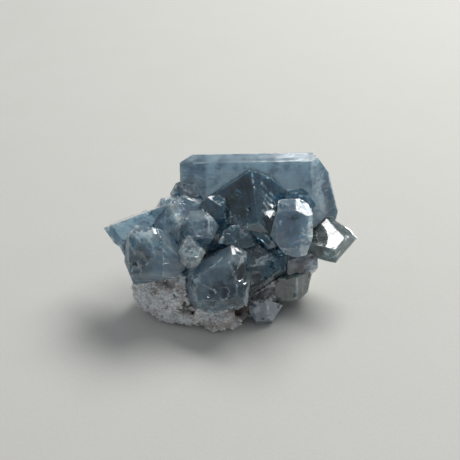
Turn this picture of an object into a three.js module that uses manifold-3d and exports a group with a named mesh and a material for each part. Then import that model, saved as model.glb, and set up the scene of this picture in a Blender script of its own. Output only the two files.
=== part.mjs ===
// A celestite specimen: blue-grey crystals grown together on a pale, crumbly matrix.
// Millimetres, +Z up. The origin is on the resting surface, under the middle of the specimen.

import * as THREE from 'three';
import { ConvexGeometry } from 'three/addons/geometries/ConvexGeometry.js';
import { mergeVertices } from 'three/addons/utils/BufferGeometryUtils.js';
import Module from 'manifold-3d';

const wasm = await Module();
wasm.setup();

const seam = 0.3; // the gap where a crystal meets the neighbour that it grew against
const weld = 1e-4; // corners nearer than this are one corner
const tableSize = 100; // the block under the resting surface that cuts the base flat
const matrixDetail = 12; // how finely the matrix's surface is divided

// Celestite's unit cell along a, b and c. It sets the angle between any two crystal faces.
const cell = { a: 8.359, b: 5.352, c: 6.866 };

const colours = {
  slate: 0x5d7482, deep: 0x3f5966, milky: 0x7f95a6, olive: 0x6c7a78, mauve: 0x77798a, matrix: 0xb5a6a2,
};

// ---------------------------------------------------------------- the crystals, front ones first

// Each crystal has its centre, the way its c axis faces (azimuth, elevation, spin about c), and how far
// out its faces grew: whole forms, single faces that differ from their form, and breaks. A break is a
// flat cut by its azimuth, its elevation and its distance. Crystals in one list overlap and are joined.

const clusters = [
  {
    name: 'front_block', colour: colours.slate,
    crystals: [{
      at: [-2.2, -7.5, 11], facing: [-30, 38, -24],
      forms: { '0 0 1': 5.5, '2 1 0': 8, '1 0 1': 9, '0 1 1': 8, '0 1 0': 9 },
      breaks: [
        [-62, 58, 5.4], [39, 47, 7.4], [-58, 21, 6.7], [-15, -8, 7.6], [-121, 52, 5.5], [119, 65, 8.4],
        [85, -5, 6.6], [-27, -50, 7.5], [25, -51, 6.8],
      ],
    }],
  },
  {
    name: 'front_right_block', colour: colours.deep,
    crystals: [{
      at: [6.2, -5.6, 14.4], facing: [12, 26, 34],
      forms: { '0 0 1': 4.6, '2 1 0': 7.2, '1 0 1': 7, '0 1 1': 7, '0 1 0': 7.5 },
      breaks: [
        [3, 62, 3.8], [43, -36, 4.9], [-73, 23, 4.2], [-123, 32, 3.9], [114, 43, 5.5], [85, -2, 6.2],
      ],
    }],
  },
  {
    name: 'right_milky', colour: colours.milky,
    crystals: [{
      at: [13.2, -3.4, 21.8], facing: [-8, 24, 10],
      forms: { '0 0 1': 4.6, '0 1 1': 6, '1 0 1': 5.4, '0 1 0': 6.4, '1 1 1': 6.2 },
      faces: { '1 0 1': 6.1 },
      breaks: [
        [172, -10, 5], [86, 3, 4.8], [99, 23, 5.6], [75, -14, 5.3], [127, 49, 6.3], [-174, 59, 6.1],
        [-101, 12, 3.7], [-69, -33, 4.7], [-39, -51, 5.8],
      ],
    }],
  },
  {
    name: 'right_plate', colour: colours.olive,
    crystals: [{
      at: [21.5, 2, 15.6], facing: [0, 78, -59],
      forms: { '0 0 1': 2, '2 1 0': 12 },
      breaks: [
        [99, 62, 3], [52, 19, 4.9], [-26, -5, 4.7], [59, -26, 5.5], [-19, -55, 5.2], [180, 0, 6],
        [-90, 0, 8], [126, 49, 4.4], [111, 38, 5.2],
      ],
    }],
  },
  {
    name: 'left_front', colour: colours.slate,
    crystals: [{
      at: [-17.2, -7, 15.6], facing: [-14, 18, 4],
      forms: { '0 0 1': 5.1, '0 1 1': 8.2, '1 0 1': 6.7, '2 1 0': 7 },
      faces: { '-1 0 1': 6, '0 -1 1': 4.6 },
      breaks: [[165, 47, 6], [-86, 5, 5.6], [-73, -15, 5.5], [-98, 32, 7.8], [15, -55, 4.5]],
    }],
  },
  {
    name: 'small_clear', colour: colours.milky,
    crystals: [{
      at: [-8.5, -9, 18.7], facing: [5, 20, 5],
      forms: { '0 0 1': 2.4, '0 1 1': 3.1, '1 0 1': 2.7, '2 1 0': 2.6 },
    }],
  },
  {
    name: 'rounded_blue', colour: colours.slate,
    crystals: [{
      at: [-6.8, -3.4, 21.2], facing: [15, 35, 0],
      forms: { '0 0 1': 3, '0 1 1': 3.3, '1 0 1': 3.4, '2 1 0': 3.5 },
    }],
  },
  {
    name: 'left_upper', colour: colours.milky,
    crystals: [
      {
        at: [-12.4, -2.2, 19.5], facing: [-25, 25, 5],
        forms: { '0 0 1': 3.4, '0 1 0': 8, '0 1 1': 8, '1 0 1': 4.4, '2 1 0': 4 },
      },
      {
        at: [-13, 2.4, 22.4], facing: [-40, 50, 20],
        forms: { '0 0 1': 2.4, '0 1 1': 3, '1 0 1': 3, '2 1 0': 3 },
      },
      {
        at: [-9, 3.2, 22], facing: [10, 40, -25],
        forms: { '0 0 1': 2.6, '0 1 1': 3, '1 0 1': 3.6, '2 1 0': 3.4 },
      },
    ],
  },
  {
    name: 'left_blade', colour: colours.slate,
    crystals: [
      {
        at: [-16.6, 1.2, 18], facing: [-20, 17, 81],
        forms: { '0 0 1': 4.9, '2 1 0': 4.9, '1 0 1': 12, '0 1 1': 11.4 },
        faces: { '0 0 -1': 1.6, '-2 1 0': 7.8, '-2 -1 0': 8, '2 -1 0': 8 },
        breaks: [[-125, 49, 7.1], [-97, 23, 10.8], [-63, -27, 9.6], [-47, -42, 7.4]],
      },
      {
        at: [-21.8, -2.4, 14.8], facing: [-35, 25, 10],
        forms: { '0 0 1': 2.6, '0 1 1': 3, '1 0 1': 3, '2 1 0': 2.8 },
        breaks: [[-69, -19, 1.9]],
      },
    ],
  },
  {
    name: 'middle_wedge', colour: colours.deep,
    crystals: [{
      at: [1.2, -3.2, 17.8], facing: [0, 44, 20],
      forms: { '0 0 1': 3.2, '0 1 1': 4, '1 0 1': 4.6, '2 1 0': 4.6 },
      breaks: [[-102, 19, 3.3], [-19, -56, 1]],
    }],
  },
  {
    name: 'middle_teal', colour: colours.deep,
    crystals: [{
      at: [8.8, -2.7, 20.6], facing: [-20, 30, -30],
      forms: { '0 0 1': 3, '0 1 1': 3.8, '1 0 1': 4, '2 1 0': 4 },
    }],
  },
  {
    name: 'lower_right_prism', colour: colours.olive,
    crystals: [{
      at: [12.6, -2.6, 5.6], facing: [4, 8, 1],
      forms: { '0 0 1': 3, '0 1 0': 3.4, '0 1 1': 4.8, '1 0 1': 5, '2 1 0': 6 },
      faces: { '1 0 1': 3.7, '0 -1 1': 3.6 },
      breaks: [[79, -7, 5.2], [-104, 14, 2], [-8, -54, 3.9], [56, -34, 4.5]],
    }],
  },
  {
    name: 'lower_mauve', colour: colours.mauve,
    crystals: [{
      at: [7.4, -7.4, 3.6], facing: [2, 15, 8],
      forms: { '0 0 1': 3, '0 1 1': 5, '1 0 1': 5, '2 1 0': 6 },
      faces: { '1 0 1': 2.9, '0 1 1': 3.8, '0 -1 1': 3.7, '-1 0 1': 3.6 },
      breaks: [
        [0, -90, 3.5], [67, -24, 3.7], [-87, -6, 3.1], [-70, -26, 3.4], [-175, 54, 1.4], [148, 50, 1.6],
      ],
    }],
  },
  {
    name: 'right_small', colour: colours.mauve,
    crystals: [{
      at: [15.6, -0.6, 11], facing: [10, 15, 10],
      forms: { '0 0 1': 2.6, '0 1 1': 3, '1 0 1': 4.2, '2 1 0': 4.2 },
      breaks: [[86, 3, 4.2], [65, -26, 4.3]],
    }],
  },
  {
    name: 'centre_pyramid', colour: colours.deep,
    crystals: [{
      at: [4, 5, 21.6], facing: [-38, 38, -57],
      forms: { '0 0 1': 6.6, '0 1 1': 8.2, '1 0 1': 12, '2 1 0': 12 },
      faces: { '0 -1 1': 9.5, '1 0 1': 9 },
      breaks: [
        [-49, 40, 6.7], [65, 34, 8.4], [144, 57, 8.3], [115, 41, 8.5], [180, -28, 2], [-126, 47, 6.8],
      ],
    }],
  },
  {
    name: 'brown_stained', colour: colours.olive,
    crystals: [{
      at: [-3.6, 1, 23.4], facing: [-20, 40, -20],
      forms: { '0 0 1': 2.4, '0 1 1': 2.8, '1 0 1': 3, '2 1 0': 2.8 },
    }],
  },
  {
    name: 'back_right_step', colour: colours.deep,
    crystals: [{
      at: [13.6, 3.4, 22.9], facing: [10, 35, 0],
      forms: { '0 0 1': 3, '0 1 1': 4, '1 0 1': 4.4, '0 1 0': 3.6, '2 1 0': 4.4 },
      breaks: [[86, 3, 5.2], [-98, 7, 1.6]],
    }],
  },
  {
    name: 'back_left_small', colour: colours.mauve,
    crystals: [{
      at: [-10, 6.2, 24.2], facing: [-30, 40, 10],
      forms: { '0 0 1': 2.4, '0 1 1': 2.7, '1 0 1': 3, '2 1 0': 3 },
      faces: { '-1 0 1': 2.7 },
    }],
  },
  {
    name: 'back_block', colour: colours.slate,
    crystals: [{
      at: [6.4, 9.4, 21], facing: [2, 28, 0],
      forms: { '0 0 1': 5.5, '0 1 1': 11, '1 0 1': 11.8, '2 1 0': 16.4, '6 1 0': 17, '0 1 0': 10.7 },
      faces: {
        '0 1 1': 10.3, '0 -1 1': 12, '-1 0 1': 15.6, '-2 1 0': 20, '-6 1 0': 20, '-6 -1 0': 20,
        '-1 0 0': 17.6, '-1 1 0': 17, '6 -1 0': 18.4, '2 -1 0': 17,
      },
    }],
  },
];

// ---------------------------------------------------------------- the matrix

const heart = new THREE.Vector3(-2, 0, 7); // a point in the matrix from which its whole outside is in view

const lumps = [
  { at: [-8.3, -2.4, 5.6], radii: [13.2, 10, 8] },
  { at: [-15.6, -3.5, 7], radii: [6.2, 6.6, 7.8] },
  { at: [-2.5, -6.6, 3.4], radii: [7, 7, 5] },
  { at: [4.5, -3, 4], radii: [6, 5.5, 5] },
  { at: [8, 4, 7.5], radii: [11, 9.5, 8] },
  { at: [1, 9, 9], radii: [14, 8, 9.5] },
];

// The waves that roughen it: a height, and the turn in radians for each millimetre along x, y and z.
const waves = [
  { height: 0.3, turn: [0.9, 0.5, -0.8] },
  { height: 0.25, turn: [-0.7, 1.1, 0.9] },
  { height: 0.2, turn: [1.9, -1.5, 1.2] },
  { height: 0.18, turn: [1.3, 2.3, -2.1] },
  { height: 0.15, turn: [-2.8, 0.6, 2.4] },
];

// ---------------------------------------------------------------- directions

// A direction by its azimuth (0 is -Y, 90 is +X) and its elevation, in degrees.
function direction(azimuth, elevation) {
  const az = THREE.MathUtils.degToRad(azimuth);
  const el = THREE.MathUtils.degToRad(elevation);
  return new THREE.Vector3(Math.sin(az) * Math.cos(el), -Math.cos(az) * Math.cos(el), Math.sin(el));
}

// The turn that points a crystal's c axis along azimuth and elevation, with its b axis as upright as it
// can be, and then spins it about c.
function crystalTurn([azimuth, elevation, spin]) {
  const c = direction(azimuth, elevation);
  const b = new THREE.Vector3(0, 0, 1).projectOnPlane(c).normalize();
  const a = new THREE.Vector3().crossVectors(b, c);
  const turn = new THREE.Matrix4().makeBasis(a, b, c);
  return turn.multiply(new THREE.Matrix4().makeRotationZ(THREE.MathUtils.degToRad(spin)));
}

// ---------------------------------------------------------------- crystal faces

// Every face of a form: its Miller index with all changes of sign.
function facesOfForm(form) {
  let faces = [[]];
  for (const index of form.split(' ').map(Number)) {
    const signs = index ? [index, -index] : [0];
    faces = faces.flatMap((face) => signs.map((signed) => [...face, signed]));
  }
  return faces.map((face) => face.join(' '));
}

function faceNormal(face) {
  const [h, k, l] = face.split(' ').map(Number);
  return new THREE.Vector3(h / cell.a, k / cell.b, l / cell.c).normalize();
}

// The planes that bound a crystal, each moved out by grown.
function crystalPlanes({ facing, forms, faces = {}, breaks = [] }, grown) {
  const distances = new Map();
  for (const [form, distance] of Object.entries(forms)) {
    for (const face of facesOfForm(form)) distances.set(face, distance);
  }
  for (const [face, distance] of Object.entries(faces)) distances.set(face, distance);
  const turn = crystalTurn(facing);
  const planes = [...distances].map(([face, distance]) => (
    { normal: faceNormal(face).transformDirection(turn), distance: distance + grown }
  ));
  for (const [azimuth, elevation, distance] of breaks) {
    planes.push({ normal: direction(azimuth, elevation), distance: distance + grown });
  }
  return planes;
}

// The point where three planes meet, or null if they don't meet in one point.
function meeting(p, q, r) {
  const across = new THREE.Vector3().crossVectors(q.normal, r.normal);
  const volume = p.normal.dot(across);
  if (Math.abs(volume) < Number.EPSILON) return null;
  return across.multiplyScalar(p.distance)
    .addScaledVector(new THREE.Vector3().crossVectors(r.normal, p.normal), q.distance)
    .addScaledVector(new THREE.Vector3().crossVectors(p.normal, q.normal), r.distance)
    .divideScalar(volume);
}

// The corners of the solid that lies behind every plane.
function cornersOf(planes) {
  const corners = [];
  const isCorner = (point) => point
    && planes.every((plane) => plane.normal.dot(point) < plane.distance + weld)
    && corners.every((corner) => corner.distanceTo(point) > 20 * weld);
  for (let i = 2; i < planes.length; i += 1) {
    for (let j = 1; j < i; j += 1) {
      for (let k = 0; k < j; k += 1) {
        const point = meeting(planes[i], planes[j], planes[k]);
        if (isCorner(point)) corners.push(point);
      }
    }
  }
  return corners;
}

// ---------------------------------------------------------------- solids

function solidOf(geometry) {
  const bare = geometry.clone();
  bare.deleteAttribute('normal');
  bare.deleteAttribute('uv');
  const merged = mergeVertices(bare, weld);
  return new wasm.Manifold(new wasm.Mesh({
    numProp: 3,
    vertProperties: merged.attributes.position.array,
    triVerts: new Uint32Array(merged.index.array),
  }));
}

function geometryOf(solid) {
  const mesh = solid.getMesh();
  return new THREE.BufferGeometry()
    .setAttribute('position', new THREE.BufferAttribute(mesh.vertProperties, 3))
    .setIndex(new THREE.BufferAttribute(mesh.triVerts, 1));
}

const largestBody = (solid) => solid.decompose().sort((s, t) => t.volume() - s.volume())[0];

// One crystal, or several that overlap and are joined, with its faces moved out by grown.
function crystalSolid(crystals, grown = 0) {
  const solids = crystals.map((crystal) => (
    solidOf(new ConvexGeometry(cornersOf(crystalPlanes(crystal, grown))).translate(...crystal.at))
  ));
  return solids.reduce((joined, solid) => joined.add(solid));
}

// How far out from the heart a lump reaches along a ray.
function reach({ at, radii }, ray) {
  const scale = new THREE.Vector3(...radii);
  const from = heart.clone().sub(new THREE.Vector3(...at)).divide(scale);
  const step = ray.clone().divide(scale);
  const halfway = from.dot(step) / step.lengthSq();
  const square = halfway ** 2 - (from.lengthSq() - 1) / step.lengthSq();
  return square < 0 ? 0 : Math.sqrt(square) - halfway;
}

function roughness(place) {
  return waves.reduce((sum, { height, turn }) => (
    sum + height * Math.sin(new THREE.Vector3(...turn).dot(place))
  ), 0);
}

// The lumps as one rough mass, cut flat where it rests.
function matrixSolid() {
  const geometry = new THREE.IcosahedronGeometry(1, matrixDetail);
  const places = geometry.attributes.position;
  for (let i = 0; i < places.count; i += 1) {
    const ray = new THREE.Vector3().fromBufferAttribute(places, i).normalize();
    const far = Math.max(...lumps.map((lump) => reach(lump, ray)));
    const place = heart.clone().addScaledVector(ray, far);
    place.addScaledVector(ray, roughness(place));
    places.setXYZ(i, place.x, place.y, place.z);
  }
  const table = new THREE.BoxGeometry(tableSize, tableSize, tableSize).translate(0, 0, -tableSize / 2);
  return solidOf(geometry).subtract(solidOf(table));
}

// ---------------------------------------------------------------- assembly

const part = new THREE.Group();
const taken = []; // the room that each crystal and its seam take from those added after it

const clear = (solid) => taken.reduce((left, room) => left.subtract(room), solid);

function addPiece(name, colour, gloss, solid, [x, y, z]) {
  const material = new THREE.MeshStandardMaterial({ color: colour, roughness: 1 - gloss, metalness: 0 });
  const mesh = new THREE.Mesh(geometryOf(largestBody(solid)).translate(-x, -y, -z), material);
  mesh.name = name;
  mesh.position.set(x, y, z);
  part.add(mesh);
}

for (const { name, colour, crystals } of clusters) {
  addPiece(name, colour, 0.8, clear(crystalSolid(crystals)), crystals[0].at);
  taken.push(crystalSolid(crystals, seam));
}
addPiece('matrix', colours.matrix, 0.1, clear(matrixSolid()), lumps[0].at);

// Move everything so that the origin is on the resting surface, under the middle.
const box = new THREE.Box3().setFromObject(part);
const middle = box.getCenter(new THREE.Vector3()).setZ(box.min.z);
for (const mesh of part.children) mesh.position.sub(middle);

export default part;
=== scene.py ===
import math

import bmesh
import bpy
import numpy as np
from mathutils import Euler, Matrix, Vector, noise
from mathutils.bvhtree import BVHTree
from mathutils.kdtree import KDTree


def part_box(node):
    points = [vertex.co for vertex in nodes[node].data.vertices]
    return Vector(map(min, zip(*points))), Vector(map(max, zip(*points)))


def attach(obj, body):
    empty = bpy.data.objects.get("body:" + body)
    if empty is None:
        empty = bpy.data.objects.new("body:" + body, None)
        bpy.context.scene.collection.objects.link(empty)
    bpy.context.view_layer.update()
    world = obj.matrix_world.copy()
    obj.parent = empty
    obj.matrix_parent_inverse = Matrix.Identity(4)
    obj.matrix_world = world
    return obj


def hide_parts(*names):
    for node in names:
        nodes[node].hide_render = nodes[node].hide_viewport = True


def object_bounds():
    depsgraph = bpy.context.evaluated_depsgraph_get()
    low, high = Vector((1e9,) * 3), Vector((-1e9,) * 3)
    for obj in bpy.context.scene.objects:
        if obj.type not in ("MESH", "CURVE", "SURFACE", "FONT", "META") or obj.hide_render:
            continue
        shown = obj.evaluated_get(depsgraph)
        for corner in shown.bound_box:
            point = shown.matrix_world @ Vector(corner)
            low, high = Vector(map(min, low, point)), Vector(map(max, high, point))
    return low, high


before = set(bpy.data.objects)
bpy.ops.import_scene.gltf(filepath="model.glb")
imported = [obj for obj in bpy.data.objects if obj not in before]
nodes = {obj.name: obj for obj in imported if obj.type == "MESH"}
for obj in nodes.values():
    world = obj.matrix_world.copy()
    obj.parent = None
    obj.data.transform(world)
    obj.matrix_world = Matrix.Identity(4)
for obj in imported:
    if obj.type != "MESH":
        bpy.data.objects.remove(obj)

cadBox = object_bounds()
mm = 0.001  # the frame is in metres

# camera

cameraView = {
    "elevation": 32,  # degrees above the floor
    "distance": 220 * mm,
    "target": (-0.5 * mm, -1.3 * mm, 18.9 * mm),
    "fieldOfView": 26.1,  # degrees
    "frameSide": 460,  # pixels
}


def makeCamera(view):
    elevation = math.radians(view["elevation"])
    back = Vector((0, -math.cos(elevation), math.sin(elevation)))
    data = bpy.data.cameras.new("camera")
    data.sensor_width = 36
    data.lens = data.sensor_width / 2 / math.tan(math.radians(view["fieldOfView"] / 2))
    data.clip_start, data.clip_end = 0.01, 20
    camera = bpy.data.objects.new("camera", data)
    camera.location = Vector(view["target"]) + back * view["distance"]
    camera.rotation_euler = (-back).to_track_quat("-Z", "Y").to_euler()
    bpy.context.scene.collection.objects.link(camera)
    bpy.context.scene.camera = camera
    bpy.context.view_layer.update()
    return camera


camera = makeCamera(cameraView)
print("camera")


def surfaceTree(piece):
    faces = [face.vertices[:] for face in piece.data.polygons]
    return BVHTree.FromPolygons([vert.co for vert in piece.data.vertices], faces)


bodyTrees = {node: surfaceTree(piece) for node, piece in nodes.items()}


half = cameraView["frameSide"] / 2
focal = half / math.tan(math.radians(cameraView["fieldOfView"] / 2))  # both in pixels


def lineThrough(pixel):
    ray = Vector(((pixel[0] - half) / focal, (half - pixel[1]) / focal, -1))
    return (camera.matrix_world.to_3x3() @ ray).normalized()


def pixelsOf(points):
    world = np.array(camera.matrix_world.inverted())
    local = points @ world[:3, :3].T + world[:3, 3]
    across, up, deep = local.T
    return np.column_stack((half - focal * across / deep, half + focal * up / deep))


def seenOn(tree, pixel):
    # where the line of sight through a pixel of the frame meets a surface, and which way it faces there
    ray = lineThrough(pixel)
    point, normal, _, _ = tree.ray_cast(camera.location, ray)
    if point is None:
        point, normal, _, _ = tree.find_nearest(camera.location + ray * cameraView["distance"])
    return point, normal


def seenAt(node, pixel):
    return seenOn(bodyTrees[node], pixel)


# light

windowLight = {
    "size": (0.50, 0.29),  # metres
    "at": (0.265, 0.30, 0.53),
    "aim": (0, 0, 0.01),
    "power": 3.3,  # watts
    "colour": (1, 0.99, 0.97),
}
roomLight = {"top": (0.30, 0.31, 0.32), "low": (0.135, 0.145, 0.155), "strength": 1.0}
bounces = {"all": 16, "clear": 32}  # clear counts the see-through veils that a ray may cross


def makeAreaLight(name, setting):
    data = bpy.data.lights.new(name, "AREA")
    data.shape = "RECTANGLE"
    data.size, data.size_y = setting["size"]
    data.energy = setting["power"]
    data.color = setting["colour"]
    lamp = bpy.data.objects.new(name, data)
    lamp.location = setting["at"]
    lamp.rotation_euler = (Vector(setting["aim"]) - lamp.location).to_track_quat("-Z", "Y").to_euler()
    bpy.context.scene.collection.objects.link(lamp)
    return lamp


def makeRoom(setting):
    world = bpy.data.worlds.new("room")
    bpy.context.scene.world = world
    world.use_nodes = True
    tree = world.node_tree
    background = tree.nodes["Background"]
    coords = tree.nodes.new("ShaderNodeTexCoord")
    split = tree.nodes.new("ShaderNodeSeparateXYZ")
    ramp = tree.nodes.new("ShaderNodeValToRGB")
    ramp.color_ramp.elements[0].position = 0.0
    ramp.color_ramp.elements[0].color = (*setting["low"], 1)
    ramp.color_ramp.elements[1].position = 1.0
    ramp.color_ramp.elements[1].color = (*setting["top"], 1)
    tree.links.new(coords.outputs["Generated"], split.inputs[0])
    tree.links.new(split.outputs["Z"], ramp.inputs["Fac"])
    tree.links.new(ramp.outputs["Color"], background.inputs["Color"])
    background.inputs["Strength"].default_value = setting["strength"]


makeAreaLight("window", windowLight)
makeRoom(roomLight)
scene = bpy.context.scene
scene.view_settings.view_transform = "Standard"
scene.cycles.transparent_max_bounces = bounces["clear"]
scene.cycles.max_bounces = bounces["all"]
scene.cycles.transmission_bounces = bounces["all"]
print("light")


def meshObject(name, mesh):
    data = bpy.data.meshes.new(name)
    mesh.to_mesh(data)
    mesh.free()
    made = bpy.data.objects.new(name, data)
    bpy.context.scene.collection.objects.link(made)
    return made


def addNode(tree, kind, **inputs):
    made = tree.nodes.new(kind)
    for name, value in inputs.items():
        made.inputs[name].default_value = value
    return made


def setInputs(node, values):
    for name, value in values.items():
        node.inputs[name].default_value = value


def newMaterial(name):
    material = bpy.data.materials.new(name)
    material.use_nodes = True
    tree = material.node_tree
    coords = tree.nodes.new("ShaderNodeTexCoord")
    return material, tree, tree.nodes["Principled BSDF"], coords.outputs["Object"]


def noiseOn(tree, coords, **inputs):
    made = addNode(tree, "ShaderNodeTexNoise", **inputs)
    tree.links.new(coords, made.inputs["Vector"])
    return made.outputs["Fac"]


def bumpFrom(tree, height, strength, distance):
    made = addNode(tree, "ShaderNodeBump", Strength=strength, Distance=distance)
    tree.links.new(height, made.inputs["Height"])
    return made.outputs["Normal"]


def layerOf(tree, name):
    made = tree.nodes.new("ShaderNodeAttribute")
    made.attribute_name = name
    return made.outputs["Fac"]


def mixValues(tree, factor, low, high):
    mixed = tree.nodes.new("ShaderNodeMapRange")
    mixed.inputs["To Min"].default_value = low
    mixed.inputs["To Max"].default_value = high
    tree.links.new(factor, mixed.inputs["Value"])
    return mixed.outputs["Result"]


def mixColours(tree, factor, low, high):
    mixed = tree.nodes.new("ShaderNodeMix")
    mixed.data_type = "RGBA"
    for name, value in (("A", low), ("B", high)):
        socket = next(s for s in mixed.inputs if s.name == name and s.type == "RGBA")
        if isinstance(value, tuple):
            socket.default_value = (*value, 1)
        else:
            tree.links.new(value, socket)
    tree.links.new(factor, mixed.inputs["Factor"])
    return next(s for s in mixed.outputs if s.type == "RGBA")


# floor

paper = {
    "side": 4,  # metres
    "rough": 0.9,
    "fibre": ((0.74, 0.735, 0.70), (0.82, 0.82, 0.79)),
    "patch": ((0.97, 0.965, 0.95), (1, 1, 1)),
    "fibreWaves": 1400,  # in a metre
    "patchWaves": 55,
    "relief": 0.1 * mm,
}


def makeFloor():
    mesh = bmesh.new()
    bmesh.ops.create_grid(mesh, x_segments=1, y_segments=1, size=paper["side"] / 2)
    floor = meshObject("floor", mesh)
    material, tree, shader, coords = newMaterial("paper")
    shader.inputs["Roughness"].default_value = paper["rough"]
    fibres = noiseOn(tree, coords, Scale=paper["fibreWaves"], Detail=4, Roughness=0.6)
    patches = noiseOn(tree, coords, Scale=paper["patchWaves"], Detail=3)
    tinted = tree.nodes.new("ShaderNodeMix")
    tinted.data_type, tinted.blend_type = "RGBA", "MULTIPLY"
    tinted.inputs["Factor"].default_value = 1
    colours = [socket for socket in tinted.inputs if socket.type == "RGBA"]
    tree.links.new(mixColours(tree, fibres, *paper["fibre"]), colours[0])
    tree.links.new(mixColours(tree, patches, *paper["patch"]), colours[1])
    tree.links.new(next(s for s in tinted.outputs if s.type == "RGBA"), shader.inputs["Base Color"])
    tree.links.new(bumpFrom(tree, fibres, 0.25, paper["relief"]), shader.inputs["Normal"])
    floor.data.materials.append(material)


makeFloor()
print("floor")

# crystals

growth = {
    "join": 0.1 * mm,  # corners nearer than this become one
    "tries": 20,  # how often a crystal's chips are drawn again until it closes
    "bevel": 0.07 * mm,  # how worn the edges are
    "seam": 0.36 * mm,  # a face this near a neighbour grew against it
    "closer": 0.13 * mm,  # and reaches this far towards it
    "stepGap": (0.5 * mm, 3.2 * mm),  # room between two growth steps
    "stepDepth": 0.12 * mm,
    "stepWidth": 0.09 * mm,
    "stepArea": 5 * mm * mm,  # smaller facets have no steps
    "swell": 0.05 * mm,  # the slow unevenness of a face
    "seed": 11,
}

chips = {
    "perCrystal": 9,
    "size": (0.35 * mm, 1.3 * mm),
    "sunk": 0.6,  # share of a chip's radius that stays outside the crystal
    "far": 3 * mm,  # how far a cutter reaches past the surface
    "ledgeDeep": 0.9,  # a ledge's depth for its height
    "bright": (38, 70),  # azimuth and elevation of a ledge that mirrors the window
}


def direction(azimuth, elevation):
    az, el = math.radians(azimuth), math.radians(elevation)
    return Vector((math.sin(az) * math.cos(el), -math.cos(az) * math.cos(el), math.sin(el)))


def crystalTurn(azimuth, elevation, spin):
    # the columns are the a, b and c axes
    c = direction(azimuth, elevation)
    up = Vector((0, 0, 1))
    b = (up - c * up.dot(c)).normalized()
    turn = Matrix((b.cross(c), b, c)).transposed()
    return turn @ Matrix.Rotation(math.radians(spin), 3, "Z")


def chipCutter(cutter, at, radii, turn, draw):
    place = Matrix.Translation(at) @ turn.to_matrix().to_4x4() @ Matrix.Diagonal((*radii, 1))
    made = bmesh.ops.create_icosphere(cutter, subdivisions=1, radius=1, matrix=place)
    for vert in made["verts"]:
        vert.co = at + (vert.co - at) * draw.uniform(0.8, 1.25)


def hollowCutter(cutter, node, anchor, centre, wide, long, deep):
    # a smooth shell-like hollow in the facet that is seen at the anchor
    at, outward = seenAt(node, anchor)
    ray = lineThrough(centre)
    middle = camera.location + ray * ((at - camera.location).dot(outward) / ray.dot(outward))
    side = outward.cross(Vector((0, 1, 0))).cross(outward).normalized()
    turn = Matrix((outward.cross(side), side, outward)).transposed().to_4x4()
    high = 4 * deep
    spread = math.sqrt(1 - (1 - deep / high) ** 2)
    size = Matrix.Diagonal((wide / spread, long / spread, high, 1))
    place = Matrix.Translation(middle + outward * (high - deep)) @ turn @ size
    bmesh.ops.create_icosphere(cutter, subdivisions=4, radius=1, matrix=place)


def ledgeCutter(cutter, at, outward, wide, high, draw):
    # a notch whose floor faces the window
    floor = (direction(*chips["bright"]) + Vector([draw.uniform(-0.04, 0.04) for _ in range(3)])).normalized()
    side = floor.cross(outward).normalized()
    forward = side.cross(floor)
    turn = Matrix((side, forward, floor)).transposed()
    middle = at + floor * (high / 2) + forward * (chips["far"] / 2 - high * chips["ledgeDeep"])
    place = Matrix.Translation(middle) @ turn.to_4x4() @ Matrix.Diagonal((wide, chips["far"], high, 1))
    made = bmesh.ops.create_cube(cutter, size=1, matrix=place)
    for vert in made["verts"]:
        vert.co += Vector([draw.uniform(-0.12, 0.12) for _ in range(3)]) * min(wide, high)


def breakCrystal(node, mesh, look, draw):
    # chips along the edges, then the ledges and scoops that have a known place
    cutter = bmesh.new()
    edges = sorted(sharpEdges(mesh, 25), key=lambda edge: -edge.calc_length())
    lengths = np.array([edge.calc_length() for edge in edges])
    for _ in range(look.get("chips", chips["perCrystal"])):
        edge = edges[int(draw.choice(len(edges), p=lengths / lengths.sum()))]
        at = edge.verts[0].co.lerp(edge.verts[1].co, draw.uniform())
        outward = sum((face.normal for face in edge.link_faces), Vector()).normalized()
        size = draw.uniform(*chips["size"])
        radii = [size * draw.uniform(0.6, 1.5) for _ in range(3)]
        turn = Euler([draw.uniform(0, math.tau) for _ in range(3)])
        chipCutter(cutter, at + outward * min(radii) * chips["sunk"], radii, turn, draw)
    for px, py, size in look.get("scoops", []):
        at, outward = seenAt(node, (px, py))
        radii = [size * mm * draw.uniform(0.7, 1.4) for _ in range(3)]
        turn = Euler([draw.uniform(0, math.tau) for _ in range(3)])
        chipCutter(cutter, at + outward * min(radii) * 0.75, radii, turn, draw)
    for anchor, centre, wide, long, deep in look.get("hollows", []):
        hollowCutter(cutter, node, anchor, centre, wide * mm, long * mm, deep * mm)
    for px, py, wide, high in look.get("ledges", []):
        ledgeCutter(cutter, *seenAt(node, (px, py)), wide * mm, high * mm, draw)
    bmesh.ops.recalc_face_normals(cutter, faces=cutter.faces)
    body, tool = meshObject("body", mesh), meshObject("tool", cutter)
    cut = body.modifiers.new("chips", "BOOLEAN")
    cut.operation, cut.solver, cut.object, cut.use_self = "DIFFERENCE", "EXACT", tool, True
    broken = bpy.data.meshes.new_from_object(body.evaluated_get(bpy.context.evaluated_depsgraph_get()))
    for scrap in (body, tool):
        bpy.data.objects.remove(scrap)
    result = bmesh.new()
    result.from_mesh(broken)
    bpy.data.meshes.remove(broken)
    largest = set(max(islands(result), key=len))
    bmesh.ops.delete(result, geom=[vert for vert in result.verts if vert not in largest], context="VERTS")
    return result


def islands(mesh):
    # the separate bits of a mesh, always in the same order
    found, done = [], set()
    for first in mesh.verts:
        if first in done:
            continue
        done.add(first)
        island = [first]
        for vert in island:
            for edge in vert.link_edges:
                other = edge.other_vert(vert)
                if other not in done:
                    done.add(other)
                    island.append(other)
        found.append(island)
    return found


def facetBody(node):
    mesh = bmesh.new()
    mesh.from_mesh(nodes[node].data)
    bmesh.ops.remove_doubles(mesh, verts=mesh.verts, dist=0.002 * mm)
    bmesh.ops.dissolve_limit(mesh, angle_limit=math.radians(1), verts=mesh.verts, edges=mesh.edges)
    mesh.normal_update()
    return mesh


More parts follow.
